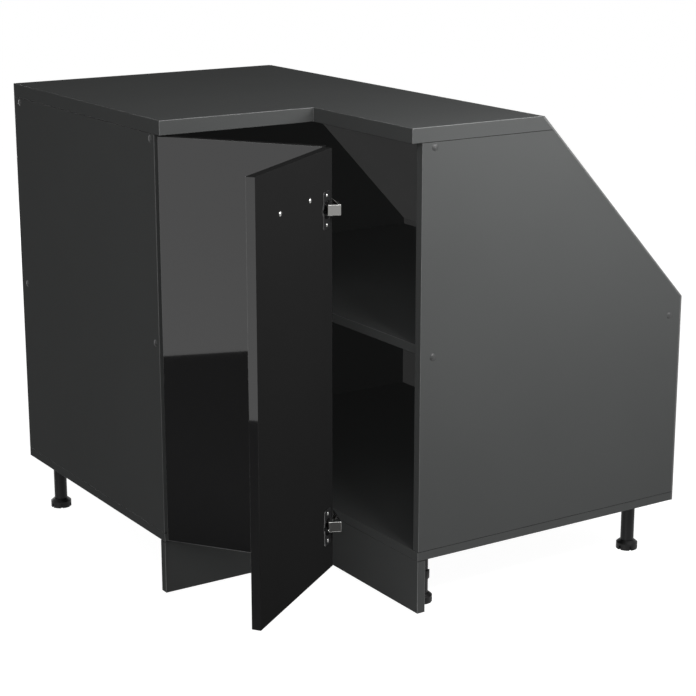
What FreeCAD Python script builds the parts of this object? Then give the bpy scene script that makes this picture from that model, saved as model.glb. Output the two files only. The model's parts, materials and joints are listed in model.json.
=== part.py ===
import FreeCAD, Part
import math
import os
from FreeCAD import Vector

# Corner kitchen base cabinet with an L-shaped worktop, a sloped rear corner and a folding two-leaf door.
# Lengths are millimetres. A place is given by how far it lies along the rear wall from the left end,
# how far out from the rear wall, and how high above the floor. The origin is the room corner on the floor.

# Plan and heights
plan_along = 900.0
plan_out = 900.0
worktop_depth = 600.0
worktop_thickness = 25.0
carcass_height = 720.0
leg_height = 100.0
board = 16.0
back_sheet = 3.0
edge_rounding = 0.8

# Sloped rear corner, from the worktop's rear edge down to a knee just above the shelf
slope_run = 331.0
knee_above_shelf = 11.5
sheet_top_drop = 0.5
slope_cut_reach = 1.2

# Front faces
leaf_thickness = 16.0
leaf_to_carcass = 4.0
base_proud = 1.2

# Door leaves
leaf_end_gap = 3.0
leaf_fold_gap = 2.0
leaf_top_gap = 2.0
leaf_bottom_lift = 6.0
rest_opening = 54.7

# Shelf
shelf_top_height = 479.5
shelf_play = 1.0
shelf_setback = 2.5

# Dome screws through the end panels, with their pegs and blocks inside
dome_radius = 6.25
dome_rise = 2.2
screw_radius = 2.5
screw_clearance = 0.1
screw_depth = 10.0
left_front_inset = 14.0
left_rear_inset = 26.0
right_inset = 25.0
peg_radius = 5.0
peg_length = 14.0
block_width = 20.0
block_depth = 22.0
block_height = 18.0
block_screw_drop = 9.0
block_fixing_radius = 2.0
block_fixing_head_radius = 3.5
block_fixing_head_rise = 1.5
block_fixing_offset = 16.0
block_fixing_bite = 14.0

# Screws that hold the base board up to the panels
base_screw_radius = 2.5
base_screw_head_radius = 5.0
base_screw_head_height = 3.5
base_screw_length = 50.0
base_screws_per_panel = 3

# Nails through the back sheets
nail_radius = 0.8
nail_head_radius = 2.0
nail_head_height = 0.8
nail_length = 20.0
nail_clearance = 0.05
nails_per_edge = 4

# Legs and feet
left_leg_inset = 41.0
rear_leg_inset = 49.0
side_leg_inset = 60.0
right_leg_inset = 54.0
leg_plinth_clearance = 1.2
leg_flange_radius = 28.0
leg_flange_thickness = 4.0
leg_collar_radius = 16.0
leg_collar_height = 12.0
leg_tube_radius = 12.5
leg_fit = 0.05
leg_screw_circle = 21.0
leg_screw_radius = 2.0
leg_screw_head_radius = 3.5
leg_screw_head_rise = 2.0
leg_screw_bite = 12.0
leg_screw_count = 4
foot_radius = 20.0
foot_shoulder_radius = 14.0
foot_rim_height = 12.0
foot_height = 17.0
foot_stop_gap = 0.3
foot_stem_radius = 6.0
foot_stem_length = 58.0
foot_bore_margin = 4.0
foot_notch_count = 6
foot_notch_width = 4.0
foot_notch_depth = 3.0
foot_notch_height = 8.0
foot_notch_turn = 9.5

# Plinth boards and the clips that hold them to the legs
plinth_floor_gap = 4.0
plinth_top_gap = 0.5
clip_height = 16.0
clip_centre_height = 52.0
clip_wall = 2.5
clip_fit = 0.15
clip_mouth = 18.0
clip_neck_width = 10.0
clip_pad_width = 32.0
clip_pad_thickness = 3.0
clip_screw_spacing = 22.0
clip_screw_radius = 1.5
clip_screw_head_radius = 3.0
clip_screw_head_rise = 1.5
clip_screw_bite = 10.0
angle_leg = 24.0
angle_thickness = 2.0
angle_height = 40.0

# Concealed hinges, alike on the end panel and on the fold
hinge_from_top = 97.0
hinge_from_bottom = 78.0
cup_radius = 17.5
cup_edge_margin = 5.0
cup_depth = 12.5
cup_floor = 0.6
cup_wall = 1.8
cup_fit = 0.1
shoulder_edge_margin = 2.2
shoulder_half_height = 11.0
shoulder_wall = 1.2
flange_near = 10.5
flange_far = 38.0
flange_half_height = 31.0
flange_thickness = 1.2
flange_corner = 5.0
cup_screw_edge = 24.0
cup_screw_half_spacing = 24.0
cup_screw_radius = 1.7
cup_screw_head_radius = 3.2
cup_screw_head_rise = 1.6
cup_screw_bite = 11.0
pin_edge = 6.5
pin_depth = 9.5
pin_radius = 1.1
pin_half_length = 10.0
pin_fit = 0.05
knuckle_radius = 2.0
strap_thickness = 2.5
inner_strap_half_height = 6.0
mouth_play = 0.6
fold_strap_half_height = 8.6
fold_strap_root_edge = 24.0
fold_strap_crest_edge = 14.0
fold_strap_start = 3.2
fold_strap_reach = 20.0
fold_strap_bend = 12.0
plate_setback = 24.0
plate_width = 26.0
plate_half_height = 26.0
plate_thickness = 2.5
plate_screw_half_spacing = 16.0
plate_screw_radius = 2.2
plate_screw_head_radius = 3.6
plate_screw_head_rise = 2.0
plate_screw_bite = 11.0
rail_half_height = 5.6
rail_height = 9.0
arm_front_setback = 7.0
arm_length = 53.0
arm_height = 15.0
arm_half_height = 10.2
arm_play = 0.4
fold_arm_setback = 4.0

# Handle on the right leaf
handle_cup_margin = 25.0
handle_from_top = 70.5
handle_post_radius = 5.0
handle_bar_radius = 6.0
handle_bar_overhang = 20.0
handle_stand_off = 26.0
handle_screw_radius = 2.0
handle_screw_head_radius = 4.5
handle_screw_head_rise = 2.2
handle_screw_bite = 12.0

# Heights that follow from the sizes above
base_top = leg_height + board
worktop_bottom = leg_height + carcass_height
worktop_top = worktop_bottom + worktop_thickness
knee_height = shelf_top_height + knee_above_shelf
slope_rise = worktop_top - knee_height
shelf_bottom = shelf_top_height - board
leaf_bottom = leg_height + leaf_bottom_lift
leaf_height = worktop_bottom - leaf_top_gap - leaf_bottom
hinge_heights = [hinge_from_bottom, leaf_height - hinge_from_top]

# Places in plan that follow from the sizes above
notch_along = plan_along - worktop_depth
rear_along = plan_along - back_sheet
panel_front_out = worktop_depth - leaf_thickness - leaf_to_carcass
panel_front_along = plan_along - panel_front_out
base_front_out = panel_front_out + base_proud
base_front_along = panel_front_along - base_proud
right_inner_out = plan_out - board
left_leaf_width = notch_along - leaf_fold_gap - leaf_end_gap
right_leaf_width = plan_out - leaf_end_gap - worktop_depth - leaf_fold_gap
leaf_inner_out = worktop_depth - leaf_thickness
leaf_inner_along = notch_along + leaf_thickness
right_leaf_near_out = worktop_depth + leaf_fold_gap

UP = Vector(0, 0, 1)
DOWN = Vector(0, 0, -1)
ALONG = Vector(1, 0, 0)
BACK_ALONG = Vector(-1, 0, 0)
OUT = Vector(0, -1, 0)
IN = Vector(0, 1, 0)


def spot(along, out, height):
    return Vector(along - plan_along, -out, height)


def block(along, out, height):
    # A box between two values in each of the three directions.
    corner = spot(along[0], out[1], height[0])
    return Part.makeBox(along[1] - along[0], out[1] - out[0], height[1] - height[0], corner)


def filled(points):
    return Part.Face(Part.makePolygon(points + points[:1]))


def slab(corners, bottom, top):
    # A level board from its corners in plan.
    face = filled([spot(along, out, bottom) for along, out in corners])
    return face.extrude(UP * (top - bottom))


def upright(corners, near, far):
    # A board that stands parallel to the rear wall, from its corners in along and height.
    face = filled([spot(along, near, height) for along, height in corners])
    return face.extrude(OUT * (far - near))


def rod(radius, length, start, direction):
    return Part.makeCylinder(radius, length, start, direction)


def dome(radius, rise, start, direction):
    # A low rounded head standing on a flat face.
    ball_radius = (radius * radius + rise * rise) / (2.0 * rise)
    latitude = math.degrees(math.asin((ball_radius - rise) / ball_radius))
    centre = start - direction * (ball_radius - rise)
    return Part.makeSphere(ball_radius, centre, direction, latitude, 90.0)


def screw(radius, length, head_radius, head_rise, seat, direction):
    # A dome-headed screw: the head lies on the seat and the shank runs in along the direction.
    shank = rod(radius, length, seat, direction)
    return shank.fuse(dome(head_radius, head_rise, seat, direction * -1.0)).removeSplitter()


def joined(pieces):
    return pieces[0].multiFuse(pieces[1:]).removeSplitter()


def softened(solid):
    return solid.makeFillet(edge_rounding, solid.Edges)


def save(name, pieces):
    shape = pieces[0]
    if len(pieces) > 1:
        shape = Part.makeCompound(pieces)
    shape.exportStep("parts/" + name + ".step")


def spaced(start, end, count):
    step = (end - start) / (count + 1)
    return [start + step * (index + 1) for index in range(count)]


# Sloped corner: what lies behind the slope is cut from the boards that reach it.
slope_length = math.hypot(slope_run, slope_rise)
slope_normal = (slope_rise / slope_length, slope_run / slope_length)


def slope_point(height, offset):
    # A point on the slope at a height, moved off it along its normal.
    along = rear_along - (height - knee_height) * slope_run / slope_rise
    return (along + slope_normal[0] * offset, height + slope_normal[1] * offset)


def behind_slope():
    knee = slope_point(knee_height, 0.0)
    top = slope_point(knee_height + slope_rise * slope_cut_reach, 0.0)
    far_along = plan_along + slope_run
    return upright([knee, top, (far_along, top[1]), (far_along, knee[1])], -plan_out, 2.0 * plan_out)


# Screw places on the end panels
left_screw_outs = [panel_front_out - left_front_inset, left_rear_inset]
peg_height = shelf_bottom - peg_radius
right_screw_alongs = [panel_front_along + right_inset, rear_along - right_inset]
block_screw_height = worktop_bottom - block_screw_drop


def left_screw_seats():
    low = [(out, peg_height) for out in left_screw_outs]
    high = [(out, block_screw_height) for out in left_screw_outs]
    return low, high


def right_screw_seats():
    low = [(along, peg_height) for along in right_screw_alongs]
    high = [(right_screw_alongs[0], block_screw_height)]
    return low, high


def panel_screws(row):
    # Row 0 holds the shelf pegs, row 1 the worktop blocks.
    length = board + screw_depth
    pieces = []
    for out, height in left_screw_seats()[row]:
        seat = spot(0.0, out, height)
        pieces.append(screw(screw_radius, length, dome_radius, dome_rise, seat, ALONG))
    for along, height in right_screw_seats()[row]:
        seat = spot(along, plan_out, height)
        pieces.append(screw(screw_radius, length, dome_radius, dome_rise, seat, IN))
    return pieces


def panel_screw_holes():
    # Clearance holes for the shanks, right through the panels and into what they hold.
    radius = screw_radius + screw_clearance
    length = board + screw_depth + screw_clearance
    holes = []
    for row in (0, 1):
        for out, height in left_screw_seats()[row]:
            holes.append(rod(radius, length, spot(0.0, out, height), ALONG))
        for along, height in right_screw_seats()[row]:
            holes.append(rod(radius, length, spot(along, plan_out, height), IN))
    return holes


def shelf_pegs():
    pegs = []
    for out, height in left_screw_seats()[0]:
        pegs.append(rod(peg_radius, peg_length, spot(board, out, height), ALONG))
    for along, height in right_screw_seats()[0]:
        pegs.append(rod(peg_radius, peg_length, spot(along, right_inner_out, height), IN))
    return [peg.cut(panel_screw_holes()) for peg in pegs]


def block_fixing_seats():
    # One screw up through each block into the worktop.
    height = worktop_bottom - block_height
    right_out = right_inner_out - block_fixing_offset
    seats = [spot(board + block_fixing_offset, out, height) for out, _ in left_screw_seats()[1]]
    seats += [spot(along, right_out, height) for along, _ in right_screw_seats()[1]]
    return seats


def block_fixing_holes():
    radius = block_fixing_radius + screw_clearance
    length = block_height + block_fixing_bite + screw_clearance
    return [rod(radius, length, seat, UP) for seat in block_fixing_seats()]


def worktop_blocks():
    half = block_width / 2.0
    heights = (worktop_bottom - block_height, worktop_bottom)
    blocks = []
    for out, _ in left_screw_seats()[1]:
        near = max(out - half, board)
        blocks.append(block((board, board + block_depth), (near, near + block_width), heights))
    for along, _ in right_screw_seats()[1]:
        outs = (right_inner_out - block_depth, right_inner_out)
        blocks.append(block((along - half, along + half), outs, heights))
    holes = panel_screw_holes() + block_fixing_holes()
    return [piece.cut(holes) for piece in blocks]


def block_fixings():
    length = block_height + block_fixing_bite
    sizes = (block_fixing_radius, length, block_fixing_head_radius, block_fixing_head_rise)
    return [screw(*sizes, seat, UP) for seat in block_fixing_seats()]


# Screws up through the base board, three under each upright board
def base_screw_seats():
    middle = board / 2.0
    left = [spot(middle, out, leg_height) for out in spaced(0.0, panel_front_out, base_screws_per_panel)]
    alongs = spaced(panel_front_along, rear_along, base_screws_per_panel)
    right = [spot(along, plan_out - middle, leg_height) for along in alongs]
    rear = [spot(along, middle, leg_height) for along in spaced(board, rear_along, base_screws_per_panel)]
    return left + right + rear


def base_screw(seat, extra):
    head = rod(base_screw_head_radius + extra, base_screw_head_height, seat, UP)
    shank = rod(base_screw_radius + extra, base_screw_length + extra, seat, UP)
    return head.fuse(shank).removeSplitter()


def base_screw_holes():
    return [base_screw(seat, screw_clearance) for seat in base_screw_seats()]


# Back sheets and their nails, which go into the rear edges of the rear panel and the right panel
def nail_seats():
    seats = []
    lower_heights = spaced(base_top, knee_height, nails_per_edge)
    upper_heights = spaced(knee_height, worktop_bottom, nails_per_edge)
    for out in (board / 2.0, plan_out - board / 2.0):
        seats += [(spot(plan_along, out, height), BACK_ALONG) for height in lower_heights]
        inward = Vector(-slope_normal[0], 0, -slope_normal[1])
        for height in upper_heights:
            along, raised = slope_point(height, back_sheet)
            seats.append((spot(along, out, raised), inward))
    return seats


def nail(seat, direction, extra):
    # A flat-headed nail driven flush with the sheet.
    head = rod(nail_head_radius + extra, nail_head_height, seat, direction)
    shank = rod(nail_radius + extra, nail_length + extra, seat, direction)
    return head.fuse(shank).removeSplitter()


def nail_holes():
    return [nail(*seat, nail_clearance) for seat in nail_seats()]


def knee_outer_point():
    # Where the outer faces of the two back sheets meet.
    rise = (back_sheet - slope_normal[0] * back_sheet) * slope_rise / slope_run
    return (plan_along, knee_height + slope_normal[1] * back_sheet - rise)


def lower_back_sheet():
    bottom = [(rear_along, leg_height), (plan_along, leg_height)]
    knee = [knee_outer_point(), (rear_along, knee_height)]
    return upright(bottom + knee, 0.0, plan_out).cut(nail_holes())


def sloped_back_sheet():
    top = worktop_top - sheet_top_drop - slope_normal[1] * back_sheet
    knee = [(rear_along, knee_height), knee_outer_point()]
    upper = [slope_point(top, back_sheet), slope_point(top, 0.0)]
    return upright(knee + upper, 0.0, plan_out).cut(nail_holes())


# Legs: front legs carry the plinths
front_leg_inset = board - base_proud + leg_flange_radius + leg_plinth_clearance
left_leg_along = left_leg_inset
front_leg_along = panel_front_along + front_leg_inset
side_leg_along = plan_along - side_leg_inset
rear_leg_out = rear_leg_inset
front_leg_out = panel_front_out - front_leg_inset
right_leg_out = plan_out - right_leg_inset
leg_places = [
    (left_leg_along, rear_leg_out),
    (left_leg_along, front_leg_out),
    (front_leg_along, front_leg_out),
    (front_leg_along, right_leg_out),
    (side_leg_along, right_leg_out),
    (side_leg_along, rear_leg_out),
]
leg_flange_bottom = leg_height - leg_flange_thickness
leg_tube_bottom = foot_height + foot_stop_gap


def leg_screw_seats():
    seats = []
    for along, out in leg_places:
        for index in range(leg_screw_count):
            turn = math.radians(360.0 / leg_screw_count * (index + 0.5))
            shift = (leg_screw_circle * math.cos(turn), leg_screw_circle * math.sin(turn))
            seats.append(spot(along + shift[0], out + shift[1], leg_flange_bottom))
    return seats


def leg_screw_holes():
    radius = leg_screw_radius + screw_clearance
    length = leg_flange_thickness + leg_screw_bite + screw_clearance
    return [rod(radius, length, seat, UP) for seat in leg_screw_seats()]


def leg_screws():
    length = leg_flange_thickness + leg_screw_bite
    sizes = (leg_screw_radius, length, leg_screw_head_radius, leg_screw_head_rise)
    return [screw(*sizes, seat, UP) for seat in leg_screw_seats()]


def leg_flange(along, out):
    plate = rod(leg_flange_radius, leg_flange_thickness, spot(along, out, leg_flange_bottom), UP)
    collar = rod(leg_collar_radius, leg_collar_height, spot(along, out, leg_flange_bottom), DOWN)
    bore = rod(leg_tube_radius + leg_fit, leg_collar_height, spot(along, out, leg_flange_bottom), DOWN)
    return joined([plate, collar]).cut(bore).cut(leg_screw_holes())


def leg_tube(along, out):
    tube = rod(leg_tube_radius, leg_flange_bottom - leg_tube_bottom, spot(along, out, leg_tube_bottom), UP)
    depth = foot_height + foot_stem_length + foot_bore_margin - leg_tube_bottom
    bore = rod(foot_stem_radius + leg_fit, depth, spot(along, out, leg_tube_bottom), UP)
    return tube.cut(bore)


def foot(along, out):
    centre = spot(along, out, 0.0)
    rim = rod(foot_radius, foot_rim_height, centre, UP)
    shoulder_start = centre + UP * foot_rim_height
    shoulder_height = foot_height - foot_rim_height
    shoulder = Part.makeCone(foot_radius, foot_shoulder_radius, shoulder_height, shoulder_start, UP)
    stem = rod(foot_stem_radius, foot_stem_length + foot_height, centre, UP)
    notches = []
    for index in range(foot_notch_count):
        corner = centre + Vector(foot_radius - foot_notch_depth, -foot_notch_width / 2.0, 0.0)
        notch = Part.makeBox(2.0 * foot_notch_depth, foot_notch_width, foot_notch_height, corner)
        notch.rotate(centre, UP, foot_notch_turn + 360.0 / foot_notch_count * index)
        notches.append(notch)
    return joined([rim, shoulder, stem]).cut(notches)


# Plinths, each standing under the base board's front edge, with clips round the front legs
plinth_heights = (plinth_floor_gap, leg_height - plinth_top_gap)
left_plinth_back_out = base_front_out - board
right_plinth_back_along = base_front_along + board
clip_bottom = clip_centre_height - clip_height / 2.0
left_clip_alongs = [left_leg_along, front_leg_along]


def clip_screw_seats():
    # Places on the plinths' back faces, on the clip pads.
    half = clip_screw_spacing / 2.0
    seats = []
    for along in left_clip_alongs:
        pad = left_plinth_back_out - clip_pad_thickness
        seats += [(spot(along + side * half, pad, clip_centre_height), OUT) for side in (-1, 1)]
    pad = right_plinth_back_along + clip_pad_thickness
    seats += [(spot(pad, right_leg_out + side * half, clip_centre_height), BACK_ALONG) for side in (-1, 1)]
    return seats


def clip_screw_holes():
    length = clip_pad_thickness + clip_screw_bite + screw_clearance
    return [rod(clip_screw_radius + screw_clearance, length, *seat) for seat in clip_screw_seats()]


def clip_screws():
    length = clip_pad_thickness + clip_screw_bite
    sizes = (clip_screw_radius, length, clip_screw_head_radius, clip_screw_head_rise)
    return [screw(*sizes, *seat) for seat in clip_screw_seats()]


def plinth_clip(centre, reach, turn):
    # A spring ring round a leg with a neck out to a pad on the plinth, made facing out and then turned.
    ring_radius = leg_tube_radius + clip_fit + clip_wall
    ring = rod(ring_radius, clip_height, Vector(0, 0, clip_bottom), UP)
    neck_corner = Vector(-clip_neck_width / 2.0, -(reach - clip_pad_thickness), clip_bottom)
    neck = Part.makeBox(clip_neck_width, reach - clip_pad_thickness, clip_height, neck_corner)
    pad_corner = Vector(-clip_pad_width / 2.0, -reach, clip_bottom)
    pad = Part.makeBox(clip_pad_width, clip_pad_thickness, clip_height, pad_corner)
    hole = rod(leg_tube_radius + clip_fit, clip_height, Vector(0, 0, clip_bottom), UP)
    mouth_corner = Vector(-clip_mouth / 2.0, 0.0, clip_bottom)
    mouth = Part.makeBox(clip_mouth, 2.0 * ring_radius, clip_height, mouth_corner)
    clip = joined([ring, neck, pad]).cut(hole).cut(mouth)
    clip.rotate(Vector(0, 0, 0), UP, turn)
    clip.translate(centre)
    return clip.cut(clip_screw_holes())


def plinth_clips():
    left_reach = left_plinth_back_out - front_leg_out
    right_reach = front_leg_along - right_plinth_back_along
    clips = [plinth_clip(spot(along, front_leg_out, 0.0), left_reach, 0.0) for along in left_clip_alongs]
    clips.append(plinth_clip(spot(front_leg_along, right_leg_out, 0.0), right_reach, -90.0))
    return clips


def plinth_angle():
    # A steel angle that ties the two plinths together behind their inside corner.
    bottom = clip_centre_height - angle_height / 2.0
    heights = (bottom, bottom + angle_height)
    along = right_plinth_back_along
    out = base_front_out
    on_left = block((along, along + angle_leg), (out, out + angle_thickness), heights)
    on_right = block((along, along + angle_thickness), (out, out + angle_leg), heights)
    return joined([on_left, on_right])


# The left plinth runs on behind the right one, far enough to carry the angle.
left_plinth_end = right_plinth_back_along + angle_leg


# Hinges. Local frame of a leaf's hinge: x runs into the leaf from its hinge edge, y stands out of its inner
# face and z is up from the hinge's centre.
cup_centre = cup_edge_margin + cup_radius
mouth_half_height = inner_strap_half_height + mouth_play
pin_centre = Vector(pin_edge, -pin_depth, 0.0)


def cup_form(radius, near, half_height, depth, rise):
    # The round cup and its square shoulder over the pin, from a depth in the leaf to a rise above its face.
    round_part = rod(radius, depth + rise, Vector(cup_centre, -depth, 0.0), IN)
    corner = Vector(near, -depth, -half_height)
    shoulder = Part.makeBox(cup_centre - near, depth + rise, 2.0 * half_height, corner)
    return joined([round_part, shoulder])


def cup_pocket():
    near = shoulder_edge_margin - cup_fit
    return cup_form(cup_radius, near, shoulder_half_height + cup_fit, cup_depth + cup_fit, 0.0)


def cup_screw_places():
    return [Vector(cup_screw_edge, flange_thickness, side * cup_screw_half_spacing) for side in (-1, 1)]


def cup_screw_holes():
    length = flange_thickness + cup_screw_bite + screw_clearance
    return [rod(cup_screw_radius + screw_clearance, length, place, OUT) for place in cup_screw_places()]


def cup_screws():
    length = flange_thickness + cup_screw_bite
    sizes = (cup_screw_radius, length, cup_screw_head_radius, cup_screw_head_rise)
    return [screw(*sizes, place, OUT) for place in cup_screw_places()]


def hinge_cup():
    outer = cup_form(cup_radius - cup_fit, shoulder_edge_margin, shoulder_half_height, cup_depth, 0.0)
    flange_start = Vector(flange_near, 0.0, -flange_half_height)
    flange_width = flange_far - flange_near
    flange = Part.makeBox(flange_width, flange_thickness, 2.0 * flange_half_height, flange_start)
    upright_edges = [edge for edge in flange.Edges if abs(edge.BoundBox.YLength - flange_thickness) < 1e-6]
    flange = flange.makeFillet(flange_corner, upright_edges)
    near = shoulder_edge_margin + shoulder_wall
    hollow_depth = cup_depth - cup_floor
    hollow = cup_form(cup_radius - cup_wall, near, mouth_half_height, hollow_depth, flange_thickness)
    pin_hole = rod(pin_radius + pin_fit, 2.0 * pin_half_length, pin_centre + DOWN * pin_half_length, UP)
    return joined([outer, flange]).cut([hollow, pin_hole] + cup_screw_holes())


def hinge_pin():
    return rod(pin_radius, 2.0 * pin_half_length, pin_centre + DOWN * pin_half_length, UP)


def strap(points, half_height):
    # A bent steel strip that follows points in the local x and y, with round bends and ends.
    pieces = []
    for start, end in zip(points, points[1:]):
        run = Vector(end[0] - start[0], end[1] - start[1], 0.0)
        corner = Vector(0.0, -strap_thickness / 2.0, -half_height)
        bar = Part.makeBox(run.Length, strap_thickness, 2.0 * half_height, corner)
        bar.rotate(Vector(0, 0, 0), UP, math.degrees(math.atan2(run.y, run.x)))
        bar.translate(Vector(start[0], start[1], 0.0))
        pieces.append(bar)
    for place in points:
        base = Vector(place[0], place[1], -half_height)
        pieces.append(rod(strap_thickness / 2.0, 2.0 * half_height, base, UP))
    return joined(pieces)


def knuckled(arm_pieces):
    # Adds the knuckle round the pin and bores it with running clearance.
    base = pin_centre + DOWN * inner_strap_half_height
    knuckle = rod(knuckle_radius, 2.0 * inner_strap_half_height, base, UP)
    bore = rod(pin_radius + pin_fit, 2.0 * inner_strap_half_height, base, UP)
    return joined(arm_pieces + [knuckle]).cut(bore)


# Plates and arm bodies have a frame of their own: x stands off the face that carries the plate, and y runs
# back from the plate's front.
def hinge_plate():
    half = plate_half_height
    wings = Part.makeBox(plate_thickness, plate_width, 2.0 * half, Vector(0.0, plate_setback, -half))
    rail_corner = Vector(0.0, arm_front_setback, -rail_half_height)
    rail = Part.makeBox(rail_height, arm_length, 2.0 * rail_half_height, rail_corner)
    return joined([wings, rail]).cut(plate_screw_holes())


def plate_screw_places():
    middle = plate_setback + plate_width / 2.0
    return [Vector(plate_thickness, middle, side * plate_screw_half_spacing) for side in (-1, 1)]


def plate_screw_holes():
    radius = plate_screw_radius + screw_clearance
    length = plate_thickness + plate_screw_bite + screw_clearance
    return [rod(radius, length, place, BACK_ALONG) for place in plate_screw_places()]


def plate_screws():
    length = plate_thickness + plate_screw_bite
    sizes = (plate_screw_radius, length, plate_screw_head_radius, plate_screw_head_rise)
    return [screw(*sizes, place, BACK_ALONG) for place in plate_screw_places()]


def arm_body():
    # A channel that straddles the rail and stands on its top.
    half = arm_half_height
    corner = Vector(plate_thickness, arm_front_setback, -half)
    shell = Part.makeBox(arm_height - plate_thickness, arm_length, 2.0 * half, corner)
    inner_half = rail_half_height + arm_play
    hollow_corner = Vector(plate_thickness, arm_front_setback, -inner_half)
    hollow = Part.makeBox(rail_height - plate_thickness, arm_length, 2.0 * inner_half, hollow_corner)
    return shell.cut(hollow)


def on_face(shape, turn, origin):
    placed = shape.copy()
    placed.rotate(Vector(0, 0, 0), UP, turn)
    placed.translate(origin)
    return placed


# The end panel's inner face and the left leaf's inner face, in the local frames of the hinges they carry
panel_face = Vector(board - leaf_end_gap, leaf_to_carcass, 0.0)
fold_face_depth = leaf_thickness + leaf_fold_gap
fold_face = Vector(-fold_face_depth, -fold_face_depth - fold_arm_setback, 0.0)


def hinge_arm():
    strap_line = panel_face.x + arm_height - strap_thickness / 2.0
    elbow = (strap_line, -pin_depth)
    end = (strap_line, panel_face.y + arm_front_setback + strap_thickness)
    inner = strap([(pin_edge, -pin_depth), elbow, end], inner_strap_half_height)
    return knuckled([inner, on_face(arm_body(), 0.0, panel_face)])


def fold_arm():
    root = (fold_strap_root_edge, fold_strap_start)
    crest = (fold_strap_crest_edge, fold_strap_reach)
    end_x = fold_face.x - arm_height + strap_thickness / 2.0
    bend = (end_x, -fold_strap_bend)
    end = (end_x, fold_face.y - arm_front_setback - strap_thickness)
    inner = strap([(pin_edge, -pin_depth), root], inner_strap_half_height)
    outer = strap([root, crest, bend, end], fold_strap_half_height)
    return knuckled([inner, outer, on_face(arm_body(), 180.0, fold_face)])


# Door leaves, made in the local frame of their hinges with z from the leaf's bottom edge
fold_plate_place = [
    Vector(left_leaf_width + fold_face.y + fold_face_depth, 0.0, height) for height in hinge_heights
]


def leaf_blank(width):
    return softened(Part.makeBox(width, leaf_thickness, leaf_height, Vector(0.0, -leaf_thickness, 0.0)))


def raised(shape, height):
    placed = shape.copy()
    placed.translate(UP * height)
    return placed


def hinge_cuts():
    tools = []
    for height in hinge_heights:
        tools += [raised(tool, height) for tool in [cup_pocket()] + cup_screw_holes()]
    return tools


def fold_plate_on_leaf(shape, place):
    # The left leaf carries the fold hinge's plate near its far edge, running back towards the hinge edge.
    return on_face(shape, 90.0, place)


def left_leaf():
    tools = hinge_cuts()
    for place in fold_plate_place:
        tools += [fold_plate_on_leaf(hole, place) for hole in plate_screw_holes()]
    return leaf_blank(left_leaf_width).cut(tools)


# The handle spans the middle half of the leaf's width that its hinge cups leave free.
handle_height = leaf_height - handle_from_top
handle_middle = right_leaf_width / 2.0
handle_pitch = (right_leaf_width - flange_far - handle_cup_margin) / 2.0


def handle_screw_places():
    half = handle_pitch / 2.0
    return [Vector(handle_middle + side * half, 0.0, handle_height) for side in (-1, 1)]


def handle_screw_holes():
    radius = handle_screw_radius + screw_clearance
    length = leaf_thickness + handle_screw_bite + screw_clearance
    return [rod(radius, length, place, OUT) for place in handle_screw_places()]


def handle_screws():
    length = leaf_thickness + handle_screw_bite
    sizes = (handle_screw_radius, length, handle_screw_head_radius, handle_screw_head_rise)
    return [screw(*sizes, place, OUT) for place in handle_screw_places()]


def handle_bar():
    face = OUT * leaf_thickness
    roots = [place + face for place in handle_screw_places()]
    posts = [rod(handle_post_radius, handle_stand_off, root, OUT) for root in roots]
    bar_length = handle_pitch + 2.0 * handle_bar_overhang
    axis_y = -leaf_thickness - handle_stand_off
    start = Vector(handle_middle - bar_length / 2.0, axis_y, handle_height)
    bar = rod(handle_bar_radius, bar_length, start, ALONG)
    return joined([bar] + posts).cut(handle_screw_holes())


def right_leaf():
    return leaf_blank(right_leaf_width).cut(hinge_cuts() + handle_screw_holes())


# Placing: pieces are made with the door closed, and the door's own pieces then turn to the opening at rest.
left_leaf_origin = spot(leaf_end_gap, leaf_inner_out, leaf_bottom)
right_leaf_origin = spot(leaf_inner_along, right_leaf_near_out, leaf_bottom)
swing_axis = left_leaf_origin + pin_centre


def on_left_leaf(shape):
    return on_face(shape, 0.0, left_leaf_origin)


def on_right_leaf(shape):
    return on_face(shape, -90.0, right_leaf_origin)


def opened(shape):
    turned = shape.copy()
    turned.rotate(swing_axis, UP, -rest_opening)
    return turned


def at_hinges(shapes):
    return [raised(shape, height) for height in hinge_heights for shape in shapes]


def closed_hinge(shapes):
    return [on_left_leaf(shape) for shape in at_hinges(shapes)]


def left_leaf_hinge(shapes):
    return [opened(on_left_leaf(shape)) for shape in at_hinges(shapes)]


def right_leaf_hinge(shapes):
    return [opened(on_right_leaf(shape)) for shape in at_hinges(shapes)]


def fold_plate_pieces(shapes):
    placed = [fold_plate_on_leaf(shape, place) for place in fold_plate_place for shape in shapes]
    return [opened(on_left_leaf(shape)) for shape in placed]


def panel_plate_pieces(shapes):
    return closed_hinge([on_face(shape, 0.0, panel_face) for shape in shapes])


# Boards of the carcass
def worktop():
    corners = [
        (0.0, 0.0),
        (plan_along, 0.0),
        (plan_along, plan_out),
        (notch_along, plan_out),
        (notch_along, worktop_depth),
        (0.0, worktop_depth),
    ]
    blank = slab(corners, worktop_bottom, worktop_top).cut(behind_slope())
    return softened(blank).cut(block_fixing_holes() + nail_holes())


def left_side_panel():
    panel = softened(block((0.0, board), (0.0, panel_front_out), (base_top, worktop_bottom)))
    plate_holes = panel_plate_pieces(plate_screw_holes())
    return panel.cut(panel_screw_holes() + base_screw_holes() + plate_holes)


def right_side_panel():
    panel = block((panel_front_along, rear_along), (right_inner_out, plan_out), (base_top, worktop_bottom))
    panel = softened(panel.cut(behind_slope()))
    return panel.cut(panel_screw_holes() + base_screw_holes() + nail_holes())


def rear_panel():
    panel = block((board, rear_along), (0.0, board), (base_top, worktop_bottom)).cut(behind_slope())
    return panel.cut(base_screw_holes() + nail_holes())


def base_board():
    corners = [
        (0.0, 0.0),
        (rear_along, 0.0),
        (rear_along, plan_out),
        (base_front_along, plan_out),
        (base_front_along, base_front_out),
        (0.0, base_front_out),
    ]
    blank = softened(slab(corners, leg_height, base_top))
    return blank.cut(base_screw_holes() + leg_screw_holes())


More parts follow.
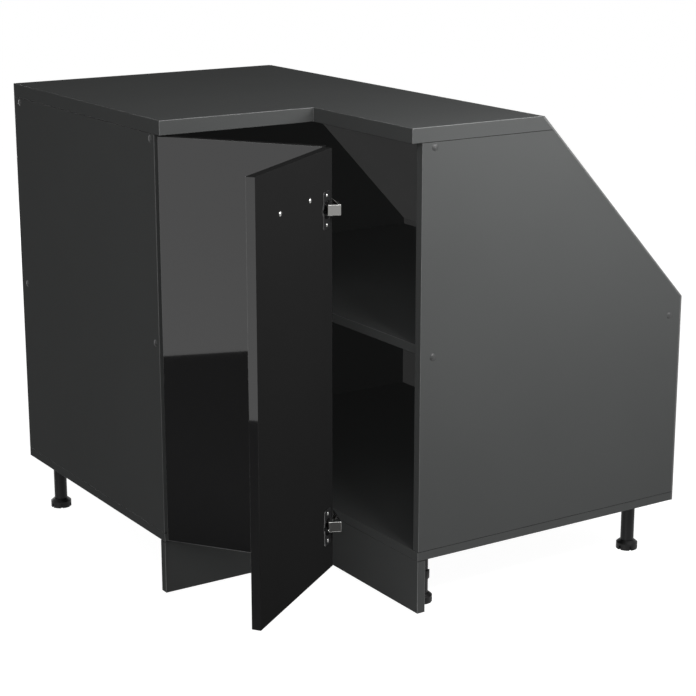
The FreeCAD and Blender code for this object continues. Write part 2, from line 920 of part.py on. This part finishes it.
def shelf():
    near_along = board + shelf_play
    far_along = rear_along - shelf_play
    near_out = board + shelf_play
    far_out = right_inner_out - shelf_play
    front_along = panel_front_along + shelf_setback
    front_out = panel_front_out - shelf_setback
    corners = [
        (near_along, near_out),
        (far_along, near_out),
        (far_along, far_out),
        (front_along, far_out),
        (front_along, front_out),
        (near_along, front_out),
    ]
    return softened(slab(corners, shelf_bottom, shelf_top_height))


def left_plinth():
    outs = (left_plinth_back_out, base_front_out)
    return softened(block((0.0, left_plinth_end), outs, plinth_heights)).cut(clip_screw_holes())


def right_plinth():
    alongs = (base_front_along, right_plinth_back_along)
    return softened(block(alongs, (base_front_out, plan_out), plinth_heights)).cut(clip_screw_holes())


os.makedirs("parts", exist_ok=True)

save("worktop", [worktop()])
save("left_side_panel", [left_side_panel()])
save("right_side_panel", [right_side_panel()])
save("rear_panel", [rear_panel()])
save("base_board", [base_board()])
save("shelf", [shelf()])
save("lower_back_sheet", [lower_back_sheet()])
save("sloped_back_sheet", [sloped_back_sheet()])
save("back_sheet_nails", [nail(*seat, 0.0) for seat in nail_seats()])
save("shelf_screws", panel_screws(0))
save("shelf_pegs", shelf_pegs())
save("worktop_screws", panel_screws(1))
save("worktop_blocks", worktop_blocks())
save("worktop_block_screws", block_fixings())
save("base_screws", [base_screw(seat, 0.0) for seat in base_screw_seats()])
save("left_plinth", [left_plinth()])
save("right_plinth", [right_plinth()])
save("plinth_clips", plinth_clips())
save("plinth_clip_screws", clip_screws())
save("plinth_angle", [plinth_angle()])
save("leg_flanges", [leg_flange(*place) for place in leg_places])
save("leg_flange_screws", leg_screws())
save("leg_tubes", [leg_tube(*place) for place in leg_places])
for number, place in enumerate(leg_places, start=1):
    save("foot_" + str(number), [foot(*place)])

save("hinge_plates", panel_plate_pieces([hinge_plate()]))
save("hinge_plate_screws", panel_plate_pieces(plate_screws()))
save("hinge_arms", closed_hinge([hinge_arm()]))

save("left_leaf", [opened(on_left_leaf(left_leaf()))])
save("hinge_cups", left_leaf_hinge([hinge_cup()]))
save("hinge_pins", left_leaf_hinge([hinge_pin()]))
save("hinge_cup_screws", left_leaf_hinge(cup_screws()))
save("fold_plates", fold_plate_pieces([hinge_plate()]))
save("fold_plate_screws", fold_plate_pieces(plate_screws()))
save("fold_arms", right_leaf_hinge([fold_arm()]))

save("right_leaf", [opened(on_right_leaf(right_leaf()))])
save("fold_cups", right_leaf_hinge([hinge_cup()]))
save("fold_pins", right_leaf_hinge([hinge_pin()]))
save("fold_cup_screws", right_leaf_hinge(cup_screws()))
save("handle_bar", [opened(on_right_leaf(handle_bar()))])
save("handle_screws", [opened(on_right_leaf(piece)) for piece in handle_screws()])

fold_axis = opened(Part.Vertex(right_leaf_origin + Vector(-pin_depth, -pin_edge, 0.0))).Point
print("swing axis", swing_axis)
print("fold axis", fold_axis)
print("worktop top", worktop_top, "knee", knee_height, "leaf", leaf_bottom, leaf_height)
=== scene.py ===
import json
import math

import bmesh
import bpy
import numpy
from mathutils import Matrix, Vector


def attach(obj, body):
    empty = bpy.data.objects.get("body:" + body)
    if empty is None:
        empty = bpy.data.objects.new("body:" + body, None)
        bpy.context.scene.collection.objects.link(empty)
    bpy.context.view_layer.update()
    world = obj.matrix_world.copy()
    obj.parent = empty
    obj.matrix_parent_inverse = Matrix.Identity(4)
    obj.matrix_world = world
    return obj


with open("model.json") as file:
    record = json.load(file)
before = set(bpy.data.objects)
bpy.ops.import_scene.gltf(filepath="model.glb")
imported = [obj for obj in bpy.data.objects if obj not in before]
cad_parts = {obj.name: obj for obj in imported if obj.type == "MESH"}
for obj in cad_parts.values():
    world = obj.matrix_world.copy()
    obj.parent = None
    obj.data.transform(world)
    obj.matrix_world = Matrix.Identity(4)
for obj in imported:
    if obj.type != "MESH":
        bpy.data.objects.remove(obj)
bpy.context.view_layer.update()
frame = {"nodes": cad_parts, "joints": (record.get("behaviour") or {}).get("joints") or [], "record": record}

# Looks of a corner kitchen cabinet with a folding door. Lengths are metres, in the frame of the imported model.

nodes = frame["nodes"]
MM = 0.001
RIGHT = Vector((1.0, 0.0, 0.0))
REAR = Vector((0.0, 1.0, 0.0))
UP = Vector((0.0, 0.0, 1.0))

# Camera: angles in degrees, lens and sensor in millimetres
view_azimuth = -32.96
view_elevation = 15.03
view_distance = 3.559
view_reach = 200.0
view_aim = Vector((-0.4457, -0.472, 0.3623))
view_lens = 97.07
sensor_width = 36.0

# Colours, linear
white = (1.0, 1.0, 1.0)
board_colour = (0.0835, 0.0858, 0.0853)
# Painted highlight: a lighter tone for the boards' rounded edges
edge_highlight_colour = (0.10, 0.102, 0.1015)
# Painted shade: a dark tone on the board roundings in the grooves where boards meet
groove_shade_colour = (0.03, 0.03, 0.03)
dome_colour = (0.05, 0.051, 0.051)
leaf_colour = (0.0085, 0.0085, 0.009)
leaf_inside_colour = (0.0175, 0.0175, 0.0175)
sheet_colour = (0.16, 0.161, 0.16)
plastic_colour = (0.005, 0.005, 0.0052)
zinc_colour = (0.36, 0.36, 0.353)
# Painted shade: a dark tone inside the screws' driver recesses
recess_shade_colour = (0.05, 0.05, 0.05)
nickel_colour = (0.25, 0.248, 0.24)
cup_colour = (0.014, 0.014, 0.0145)
# Painted highlight: bright metal on the rims of the cup flanges
rim_highlight_colour = (0.26, 0.26, 0.26)
# Painted highlight: bright metal on the rounded edges of hinge arms and plates
edge_glint_colour = (0.92, 0.92, 0.9)
handle_colour = (0.02, 0.02, 0.021)
floor_colour = (0.4, 0.4, 0.4)
card_colour = (0.2, 0.2, 0.2)

# Light
object_middle = Vector((-0.45, -0.45, 0.42))
ambient_strength = 0.11
backdrop_strength = 1.0
key_power = 21.6
key_width = 1.5
key_height = 0.5
key_place = Vector((-0.1, -1.75, 1.3))
key_aim = Vector((-0.1, -0.9, 0.95))
fill_power = 26.0
fill_size = 2.4
fill_place = Vector((-2.5, -2.45, 2.35))
rear_power = 28.0
rear_size = 2.2
rear_place = Vector((1.6, 2.4, 1.9))
back_power = 26.0
back_size = 1.2
back_place = Vector((-0.3, 3.0, 0.7))
wash_strength = 0.56
wash_from = Vector((-0.72, -0.28, -0.58))
lift_strength = 0.14

# Floor as the camera and reflections see it: part lit, part plain white
floor_glow = 0.96
floor_shade_colour = (0.25, 0.25, 0.25)
floor_reach = 60.0

# Dark cards on the floor, seen only in reflections: the gloss door mirrors one, the lower hinge the other
door_card = ((-1.05, 0.7), (-1.05, -1.3), (-2.362, -1.3), (-2.5, -1.05), (-2.5, 0.7))
hinge_card = ((-0.55, -1.05), (-1.04, -1.05), (-1.04, -1.31), (-1.32, -2.0), (-0.6, -2.0))
card_lift = 0.002

# Grain of the finishes: the range where most of a noise lies, and how the fine noise and the mottle spread
noise_low = 0.3
noise_high = 0.7
even_stretch = (1.0, 1.0, 1.0)
brushed_stretch = (1.0, 1.0, 8.0)
fine_detail = 3.0
fine_tones = (0.1, 0.6)
mottle_scale = 6.0
mottle_detail = 2.0
mottle_tones = (0.0, 0.3)
roughness_spread = 0.12
bump_strength = 0.5

# Places of the colour sockets on a mix node
mix_first = 6
mix_second = 7
mix_result = 2

# Boards: what counts as a flat face, so that the rounded edges can be told from it, and the slope from which
# a face looks to a side
flat_share = 0.004
flat_match = 0.998
direction_digits = 2
level_slope = 0.1

# Pressed and moulded pieces: edges sharper than the sharp angle are rounded by these widths
weld_distance = 0.001 * MM
flat_angle = math.radians(0.5)
sharp_angle = math.radians(50.0)
bevel_segments = 3
arm_rounding = 0.42 * MM
plate_rounding = 0.5 * MM
cup_rounding = 0.15 * MM
moulded_rounding = 0.5 * MM

# Screws: points beyond this share of the largest radius belong to the head
head_share = 0.9

# Driver recesses, as shares of a screw head's radius, and how far their plugs stand above the head
recess_arms = 4
recess_reach = 0.62
recess_half_width = 0.15
recess_depth = 0.36
recess_taper = 0.75
recess_over = 0.5 * MM

# Adjusting screws on the hinge arms: their places from the arm's back end, and the outline of the head in
# shares of its radius and its rise
adjuster_radius = 3.6 * MM
adjuster_rise = 1.5 * MM
adjuster_sink = 0.2 * MM
adjuster_setbacks = (12.0 * MM, 34.0 * MM)
adjuster_foot = (1.0, -adjuster_sink / adjuster_rise)
adjuster_outline = (adjuster_foot, (1.0, 0.4), (0.93, 0.72), (0.76, 0.93), (0.5, 1.0))
turn_steps = 32


def aimed(place, aim):
    # A rotation that looks from a place at an aim with level horizon.
    return (aim - place).to_track_quat("-Z", "Y")


def make_camera():
    azimuth = math.radians(view_azimuth)
    elevation = math.radians(view_elevation)
    level = Vector((math.sin(azimuth), -math.cos(azimuth), 0.0))
    back = level * math.cos(elevation) + UP * math.sin(elevation)
    data = bpy.data.cameras.new("camera")
    data.lens = view_lens
    data.sensor_width = sensor_width
    data.clip_end = view_reach
    camera = bpy.data.objects.new("camera", data)
    camera.location = view_aim + back * view_distance
    camera.rotation_mode = "QUATERNION"
    camera.rotation_quaternion = aimed(camera.location, view_aim)
    bpy.context.scene.collection.objects.link(camera)
    bpy.context.scene.camera = camera


def make_lamp(name, kind, power, place, aim):
    data = bpy.data.lights.new(name, kind)
    data.energy = power
    lamp = bpy.data.objects.new(name, data)
    lamp.location = place
    lamp.rotation_mode = "QUATERNION"
    lamp.rotation_quaternion = aimed(place, aim)
    bpy.context.scene.collection.objects.link(lamp)
    return data


def make_lights():
    key = make_lamp("key", "AREA", key_power, key_place, key_aim)
    key.shape = "RECTANGLE"
    key.size = key_width
    key.size_y = key_height
    make_lamp("fill", "AREA", fill_power, fill_place, object_middle).size = fill_size
    make_lamp("rear", "AREA", rear_power, rear_place, object_middle).size = rear_size
    make_lamp("back", "AREA", back_power, back_place, object_middle).size = back_size
    # Weak light from low on the left and from above that reaches into the cabinet: it casts no shadow.
    make_lamp("wash", "SUN", wash_strength, object_middle + wash_from, object_middle).use_shadow = False
    make_lamp("lift", "SUN", lift_strength, object_middle + UP, object_middle).use_shadow = False


# Node helpers
def new_tree(owner):
    owner.use_nodes = True
    tree = owner.node_tree
    tree.nodes.clear()
    return tree


def add(tree, kind, **values):
    node = tree.nodes.new(kind)
    for name, value in values.items():
        setattr(node, name, value)
    return node


def rgba(colour):
    return (*colour, 1.0)


def scaled(colour, factor):
    return tuple(channel * factor for channel in colour)


def seen_mask(tree):
    # One for camera, glossy and transmission rays, else nought.
    path = add(tree, "ShaderNodeLightPath")
    first = add(tree, "ShaderNodeMath", operation="MAXIMUM")
    second = add(tree, "ShaderNodeMath", operation="MAXIMUM")
    tree.links.new(path.outputs["Is Camera Ray"], first.inputs[0])
    tree.links.new(path.outputs["Is Glossy Ray"], first.inputs[1])
    tree.links.new(first.outputs[0], second.inputs[0])
    tree.links.new(path.outputs["Is Transmission Ray"], second.inputs[1])
    return second.outputs[0]


def mix_by_ray(tree, lighting, seen):
    # One shader for the rays of the seen mask, and another that lights the rest.
    mix = add(tree, "ShaderNodeMixShader")
    tree.links.new(seen_mask(tree), mix.inputs[0])
    tree.links.new(lighting, mix.inputs[1])
    tree.links.new(seen, mix.inputs[2])
    return mix.outputs[0]


def show(tree, output_kind, shader):
    # Ends a tree with an output for its shader.
    output = add(tree, output_kind)
    tree.links.new(shader, output.inputs["Surface"])


# World
def background(tree, strength):
    shader = add(tree, "ShaderNodeBackground")
    shader.inputs["Color"].default_value = rgba(white)
    shader.inputs["Strength"].default_value = strength
    return shader.outputs[0]


def make_world():
    world = bpy.data.worlds.new("world")
    bpy.context.scene.world = world
    tree = new_tree(world)
    ambient = background(tree, ambient_strength)
    backdrop = background(tree, backdrop_strength)
    show(tree, "ShaderNodeOutputWorld", mix_by_ray(tree, ambient, backdrop))


# Stage
def diffuse(tree, colour):
    shader = add(tree, "ShaderNodeBsdfDiffuse")
    shader.inputs["Color"].default_value = rgba(colour)
    return shader.outputs[0]


def floor_material():
    material = bpy.data.materials.new("floor")
    tree = new_tree(material)
    glow = add(tree, "ShaderNodeEmission")
    glow.inputs["Strength"].default_value = floor_glow
    both = add(tree, "ShaderNodeAddShader")
    tree.links.new(diffuse(tree, floor_shade_colour), both.inputs[0])
    tree.links.new(glow.outputs[0], both.inputs[1])
    plain = diffuse(tree, floor_colour)
    show(tree, "ShaderNodeOutputMaterial", mix_by_ray(tree, plain, both.outputs[0]))
    return material


def card_material():
    material = bpy.data.materials.new("card")
    tree = new_tree(material)
    show(tree, "ShaderNodeOutputMaterial", diffuse(tree, card_colour))
    return material


def stage_sheet(name, corners, height, material):
    mesh = bpy.data.meshes.new(name)
    mesh.from_pydata([(*corner, height) for corner in corners], [], [range(len(corners))])
    mesh.materials.append(material)
    piece = bpy.data.objects.new(name, mesh)
    bpy.context.scene.collection.objects.link(piece)
    return piece


def make_stage():
    reach = floor_reach
    corners = ((-reach, -reach), (reach, -reach), (reach, reach), (-reach, reach))
    stage_sheet("floor", corners, 0.0, floor_material())
    dark = card_material()
    for name, outline in (("door_card", door_card), ("hinge_card", hinge_card)):
        card = stage_sheet(name, outline, card_lift, dark)
        card.visible_camera = False
        card.visible_diffuse = False
        card.visible_shadow = False


# Finishes
def noise(tree, place, scale, detail, stretch):
    mapping = add(tree, "ShaderNodeMapping")
    mapping.inputs["Scale"].default_value = stretch
    tree.links.new(place, mapping.inputs["Vector"])
    texture = add(tree, "ShaderNodeTexNoise")
    texture.inputs["Scale"].default_value = scale
    texture.inputs["Detail"].default_value = detail
    tree.links.new(mapping.outputs[0], texture.inputs["Vector"])
    return texture.outputs["Fac"]


def ranged(tree, value, low, high):
    # Spreads the middle of a noise, where most of it lies, over a range.
    spread = add(tree, "ShaderNodeMapRange")
    spread.inputs["From Min"].default_value = noise_low
    spread.inputs["From Max"].default_value = noise_high
    spread.inputs["To Min"].default_value = low
    spread.inputs["To Max"].default_value = high
    tree.links.new(value, spread.inputs["Value"])
    return spread.outputs["Result"]


def surface(name, colour, roughness, spread, grain, grain_depth, stretch=even_stretch, **sockets):
    # A surface with fine grain in colour, roughness and height, and a slow mottle over its colour.
    material = bpy.data.materials.new(name)
    tree = new_tree(material)
    shader = add(tree, "ShaderNodeBsdfPrincipled")
    for socket, value in sockets.items():
        shader.inputs[socket.replace("_", " ")].default_value = value
    place = add(tree, "ShaderNodeTexCoord").outputs["Object"]
    fine = noise(tree, place, grain, fine_detail, stretch)
    mottle = noise(tree, place, mottle_scale, mottle_detail, even_stretch)
    both = add(tree, "ShaderNodeMath", operation="ADD")
    tree.links.new(ranged(tree, fine, *fine_tones), both.inputs[0])
    tree.links.new(ranged(tree, mottle, *mottle_tones), both.inputs[1])
    tone = add(tree, "ShaderNodeMix", data_type="RGBA")
    tone.inputs[mix_first].default_value = rgba(scaled(colour, 1.0 - spread))
    tone.inputs[mix_second].default_value = rgba(scaled(colour, 1.0 + spread))
    tree.links.new(both.outputs[0], tone.inputs["Factor"])
    tree.links.new(tone.outputs[mix_result], shader.inputs["Base Color"])
    smoothest = roughness * (1.0 - roughness_spread)
    roughest = roughness * (1.0 + roughness_spread)
    tree.links.new(ranged(tree, fine, smoothest, roughest), shader.inputs["Roughness"])
    bump = add(tree, "ShaderNodeBump")
    bump.inputs["Strength"].default_value = bump_strength
    bump.inputs["Distance"].default_value = grain_depth
    tree.links.new(fine, bump.inputs["Height"])
    tree.links.new(bump.outputs[0], shader.inputs["Normal"])
    show(tree, "ShaderNodeOutputMaterial", shader.outputs[0])
    return material


board = surface(
    "board", board_colour, roughness=0.52, spread=0.05, grain=900.0, grain_depth=0.02 * MM,
    Specular_IOR_Level=0.0,
)
# Rounded board edges: a real coat sheen, and a lighter tone painted as a highlight
highlight_edge = surface(
    "highlight_edge", edge_highlight_colour, roughness=0.3, spread=0.04, grain=500.0, grain_depth=0.01 * MM,
    Coat_Weight=0.2, Coat_Roughness=0.25,
)
# Painted shade for the grooves where boards meet
painted_groove_shade = surface(
    "painted_groove_shade", groove_shade_colour, roughness=0.6, spread=0.05, grain=900.0, grain_depth=0.02 * MM,
    Specular_IOR_Level=0.0,
)
leaf_front = surface(
    "leaf_front", leaf_colour, roughness=0.03, spread=0.05, grain=60.0, grain_depth=0.001 * MM,
    Coat_Weight=0.6, Coat_Roughness=0.01,
)
leaf_inside = surface(
    "leaf_inside", leaf_inside_colour, roughness=0.5, spread=0.06, grain=800.0, grain_depth=0.02 * MM,
    Specular_IOR_Level=0.0,
)
sheet = surface(
    "sheet", sheet_colour, roughness=0.6, spread=0.12, grain=420.0, grain_depth=0.05 * MM,
    Specular_IOR_Level=0.05,
)
dome_paint = surface(
    "dome_paint", dome_colour, roughness=0.36, spread=0.05, grain=700.0, grain_depth=0.01 * MM,
    Specular_IOR_Level=0.3,
)
plastic = surface(
    "plastic", plastic_colour, roughness=0.46, spread=0.1, grain=1400.0, grain_depth=0.03 * MM,
    Specular_IOR_Level=0.18,
)
zinc = surface(
    "zinc", zinc_colour, roughness=0.24, spread=0.08, grain=900.0, grain_depth=0.01 * MM,
    Metallic=1.0,
)
# Painted shade inside the driver recesses
recess = surface(
    "recess", recess_shade_colour, roughness=0.5, spread=0.1, grain=900.0, grain_depth=0.01 * MM,
    Metallic=0.6,
)
nickel = surface(
    "nickel", nickel_colour, roughness=0.2, spread=0.05, grain=300.0, grain_depth=0.01 * MM,
    stretch=brushed_stretch, Metallic=1.0,
)
# Painted highlight for the rounded edges of hinge arms and plates
edge_glint = surface(
    "edge_glint", edge_glint_colour, roughness=0.25, spread=0.04, grain=500.0, grain_depth=0.01 * MM,
    Metallic=1.0,
)
cup_steel = surface(
    "cup_steel", cup_colour, roughness=0.4, spread=0.1, grain=700.0, grain_depth=0.01 * MM,
    Specular_IOR_Level=0.2,
)
# Painted highlight for the cup flange rims and rounded cup edges
rim_highlight = surface(
    "rim_highlight", rim_highlight_colour, roughness=0.3, spread=0.1, grain=700.0, grain_depth=0.01 * MM,
    Metallic=1.0,
)
handle_paint = surface(
    "handle_paint", handle_colour, roughness=0.38, spread=0.06, grain=1200.0, grain_depth=0.01 * MM,
)

finishes = {
    "board": board,
    "worktop": board,
    "back_sheet": sheet,
    "leaf": leaf_front,
    "dome_screw": dome_paint,
    "black_plastic": plastic,
    "zinc": zinc,
    "nickel": nickel,
    "cup": cup_steel,
    "handle": handle_paint,
}
slots = {row["node"]: row["material_slot"] for row in frame["record"]["subparts"]}
body_of_node = {
    node: body for body, members in frame["record"]["behaviour"]["bodies"].items() for node in members
}


def dress_nodes():
    for node, slot in slots.items():
        mesh = nodes[node].data
        mesh.materials.clear()
        mesh.materials.append(finishes[slot])


def add_finish(node, material):
    # Adds a finish to a node if it lacks it, and gives its place in the list.
    materials = nodes[node].data.materials
    if material.name not in materials:
        materials.append(material)
    return materials.find(material.name)


def flat_directions(mesh):
    # The directions in which a good share of a board's surface looks.
    areas = {}
    for face in mesh.polygons:
        direction = tuple(round(part, direction_digits) for part in face.normal)
        areas[direction] = areas.get(direction, 0.0) + face.area
    least = flat_share * sum(areas.values())
    return [Vector(direction).normalized() for direction, area in areas.items() if area > least]


def paint_roundings(node, shade_above):
    # Gives a board's rounded edges a slight coat sheen and a lighter tone as a painted highlight, and paints
    # shade in a dark tone on the grooves where boards meet: those that look down, and those that look up where
    # another board stands on this one.
    mesh = nodes[node].data
    edge = add_finish(node, highlight_edge)
    groove_shade = add_finish(node, painted_groove_shade)
    flats = flat_directions(mesh)
    for face in mesh.polygons:
        if max(face.normal.dot(flat) for flat in flats) >= flat_match:
            continue
        below = face.normal.z <= -level_slope
        above = shade_above and face.normal.z >= level_slope
        face.material_index = groove_shade if below or above else edge


def unpaint_left_roundings(node, up):
    # Gives the roundings that look to the left and up, or down where up is -1, the board's own finish back, so
    # that they carry no painted highlight or painted groove shade.
    for face in nodes[node].data.polygons:
        if face.normal.x < -level_slope and face.normal.z * up > level_slope:
            face.material_index = 0


def paint_leaf(leaf, inside):
    # Gives all of a leaf that looks inwards, up or down the finish of its inner side.
    index = add_finish(leaf, leaf_inside)
    for face in nodes[leaf].data.polygons:
        inwards = face.normal.dot(inside)
        if inwards > level_slope or (abs(face.normal.z) > level_slope and inwards > -level_slope):
            face.material_index = index


def paint_rim_highlights(cups, leaf, inside):
    # Gives the rim of each cup's flange, where it stands proud of the leaf, a brighter finish: a painted
    # highlight.
    level = max(vertex.co.dot(inside) for vertex in nodes[leaf].data.vertices)
    index = add_finish(cups, rim_highlight)
    for face in nodes[cups].data.polygons:
        if face.center.dot(inside) > level and abs(face.normal.dot(inside)) < level_slope:
            face.material_index = index


# Edges of pressed and moulded pieces
def weld(piece):
    modifier = piece.modifiers.new("weld", "WELD")
    modifier.merge_threshold = weld_distance


def soften(node, width, highlight_finish=None):
    # Rounds a node's sharp edges, and gives the roundings a brighter finish as a painted highlight where one is
    # given.
    piece = nodes[node]
    weld(piece)
    merge = piece.modifiers.new("merge", "DECIMATE")
    merge.decimate_type = "DISSOLVE"
    merge.angle_limit = flat_angle
    bevel = piece.modifiers.new("bevel", "BEVEL")
    bevel.width = width
    bevel.segments = bevel_segments
    bevel.limit_method = "ANGLE"
    bevel.angle_limit = sharp_angle
    bevel.use_clamp_overlap = False
    bevel.harden_normals = True
    if highlight_finish:
        bevel.material = add_finish(node, highlight_finish)


# Screws
def solids_of(piece):
    # The corner points of each separate solid in a piece.
    work = bmesh.new()
    work.from_mesh(piece.data)
    bmesh.ops.remove_doubles(work, verts=work.verts, dist=weld_distance)
    work.verts.index_update()
    seen = [False] * len(work.verts)
    solids = []
    for first in work.verts:
        if seen[first.index]:
            continue
        seen[first.index] = True
        waiting = [first]
        points = []
        while waiting:
            vert = waiting.pop()
            points.append(vert.co.copy())
            for edge in vert.link_edges:
                other = edge.other_vert(vert)
                if not seen[other.index]:
                    seen[other.index] = True
                    waiting.append(other)
        solids.append(points)
    work.free()
    return solids


def screw_head(points):
    # The middle of a screw head's top, the direction out of the head, and the head's radius.
    cloud = numpy.array(points)
    middle = cloud.mean(axis=0)
    axis = numpy.linalg.eigh(numpy.cov((cloud - middle).T))[1][:, 2]
    along = (cloud - middle) @ axis
    radii = numpy.linalg.norm(cloud - middle - numpy.outer(along, axis), axis=1)
    if along[radii > head_share * radii.max()].mean() < 0.0:
        axis = -axis
        along = -along
    return Vector(middle + axis * along.max()), Vector(axis), radii.max()


def recess_plug(work, place, axis, radius):
    # The cross-shaped plug that a screw head's driver recess takes away.
    side = axis.orthogonal().normalized()
    over = axis.cross(side)
    reach = recess_reach * radius
    half = recess_half_width * radius
    outline = []
    for arm in range(recess_arms):
        for along, across in ((reach, -half), (reach, half), (half, half)):
            outline.append(side * along + over * across)
        side, over = over, -side
    floor_place = place - axis * recess_depth * radius
    floor = [work.verts.new(floor_place + point * recess_taper) for point in outline]
    roof = [work.verts.new(place + point + axis * recess_over) for point in outline]
    work.faces.new(list(reversed(floor)))
    work.faces.new(roof)
    for index in range(len(outline)):
        follow = (index + 1) % len(outline)
        work.faces.new((floor[index], floor[follow], roof[follow], roof[index]))


def mesh_piece(name, work, body):
    mesh = bpy.data.meshes.new(name)
    work.to_mesh(mesh)
    work.free()
    piece = bpy.data.objects.new(name, mesh)
    bpy.context.scene.collection.objects.link(piece)
    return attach(piece, body)


def cut_recesses(piece, heads, body):
    # Sinks a driver recess into each screw head of a piece. The cut faces take the recess finish, a dark tone
    # painted as the shade inside the recess.
    work = bmesh.new()
    for head in heads:
        recess_plug(work, *head)
    plugs = mesh_piece(piece.name + ".recess", work, body)
    plugs.hide_render = True
    plugs.data.materials.append(recess)
    weld(piece)
    cut = piece.modifiers.new("recess", "BOOLEAN")
    cut.operation = "DIFFERENCE"
    cut.solver = "MANIFOLD"
    cut.material_mode = "TRANSFER"
    cut.object = plugs


def pan_head(work, place, axis):
    # A low domed screw head that stands on a face.
    side = axis.orthogonal().normalized()
    over = axis.cross(side)
    rings = []
    for share, height in adjuster_outline:
        middle = place + axis * height * adjuster_rise
        ring = []
        for step in range(turn_steps):
            angle = math.tau * step / turn_steps
            spoke = side * math.cos(angle) + over * math.sin(angle)
            ring.append(work.verts.new(middle + spoke * share * adjuster_radius))
        rings.append(ring)
    work.faces.new(list(reversed(rings[0])))
    work.faces.new(rings[-1])
    for low, high in zip(rings, rings[1:]):
        for step in range(turn_steps):
            follow = (step + 1) % turn_steps
            wall = work.faces.new((low[step], low[follow], high[follow], high[step]))
            wall.smooth = True


def adjusters(name, node, off, back):
    # The adjusting screws on each arm's top. Off stands off the face that carries the arm, back runs along it.
    work = bmesh.new()
    heads = []
    for points in solids_of(nodes[node]):
        top = max(point.dot(off) for point in points)
        end = max(point.dot(back) for point in points)
        heights = [point.z for point in points]
        level = (min(heights) + max(heights)) / 2.0
        for setback in adjuster_setbacks:
            place = off * top + back * (end - setback) + UP * level
            pan_head(work, place, off)
            heads.append((place + off * adjuster_rise, off, adjuster_radius))
    piece = mesh_piece(name, work, body_of_node[node])
    piece.data.materials.append(zinc)
    cut_recesses(piece, heads, body_of_node[node])


make_camera()
make_lights()
make_world()
make_stage()
dress_nodes()

# The door stands open at rest by the angle that the swing joint can close it.
swing = next(joint for joint in frame["joints"] if joint["name"] == "door_swing")
door_turn = Matrix.Rotation(math.radians(swing["range_deg"][0]), 3, "Z")
leaf_sides = (
    ("left_leaf", "hinge_cups", door_turn @ REAR),
    ("right_leaf", "fold_cups", door_turn @ RIGHT),
)
for leaf, cups, inside in leaf_sides:
    paint_leaf(leaf, inside)
    paint_rim_highlights(cups, leaf, inside)

open_topped = ("worktop", "shelf")
built_upon = (
    "left_side_panel", "right_side_panel", "rear_panel", "base_board", "left_plinth", "right_plinth",
)
# Board roundings get a painted highlight, and those in grooves painted shade
for node in open_topped:
    paint_roundings(node, shade_above=False)
for node in built_upon:
    paint_roundings(node, shade_above=True)
# Roundings on the left keep the board's own finish, without painted highlight or painted groove shade
for node, up in (("worktop", 1), ("base_board", 1), ("base_board", -1), ("right_plinth", 1)):
    unpaint_left_roundings(node, up)

# Hinge arms and plates: rounded edges in bright metal as a painted highlight
for node in ("fold_arms", "hinge_arms"):
    soften(node, arm_rounding, edge_glint)
for node in ("fold_plates", "hinge_plates"):
    soften(node, plate_rounding, edge_glint)
# The cups' rounded edges get the painted rim highlight too
for node in ("fold_cups", "hinge_cups"):
    soften(node, cup_rounding, rim_highlight)
for node in ("plinth_clips", "worktop_blocks", "leg_flanges", "plinth_angle"):
    soften(node, moulded_rounding)

recessed = (
    "fold_cup_screws", "hinge_cup_screws", "fold_plate_screws", "hinge_plate_screws", "handle_screws",
    "plinth_clip_screws", "worktop_block_screws", "leg_flange_screws", "base_screws",
)
for node in recessed:
    screw_heads = [screw_head(points) for points in solids_of(nodes[node])]
    cut_recesses(nodes[node], screw_heads, body_of_node[node])

adjusters("hinge_arm_adjusters", "hinge_arms", RIGHT, REAR)
adjusters("fold_arm_adjusters", "fold_arms", door_turn @ REAR, door_turn @ -RIGHT)

bpy.context.scene.view_settings.view_transform = "Standard"
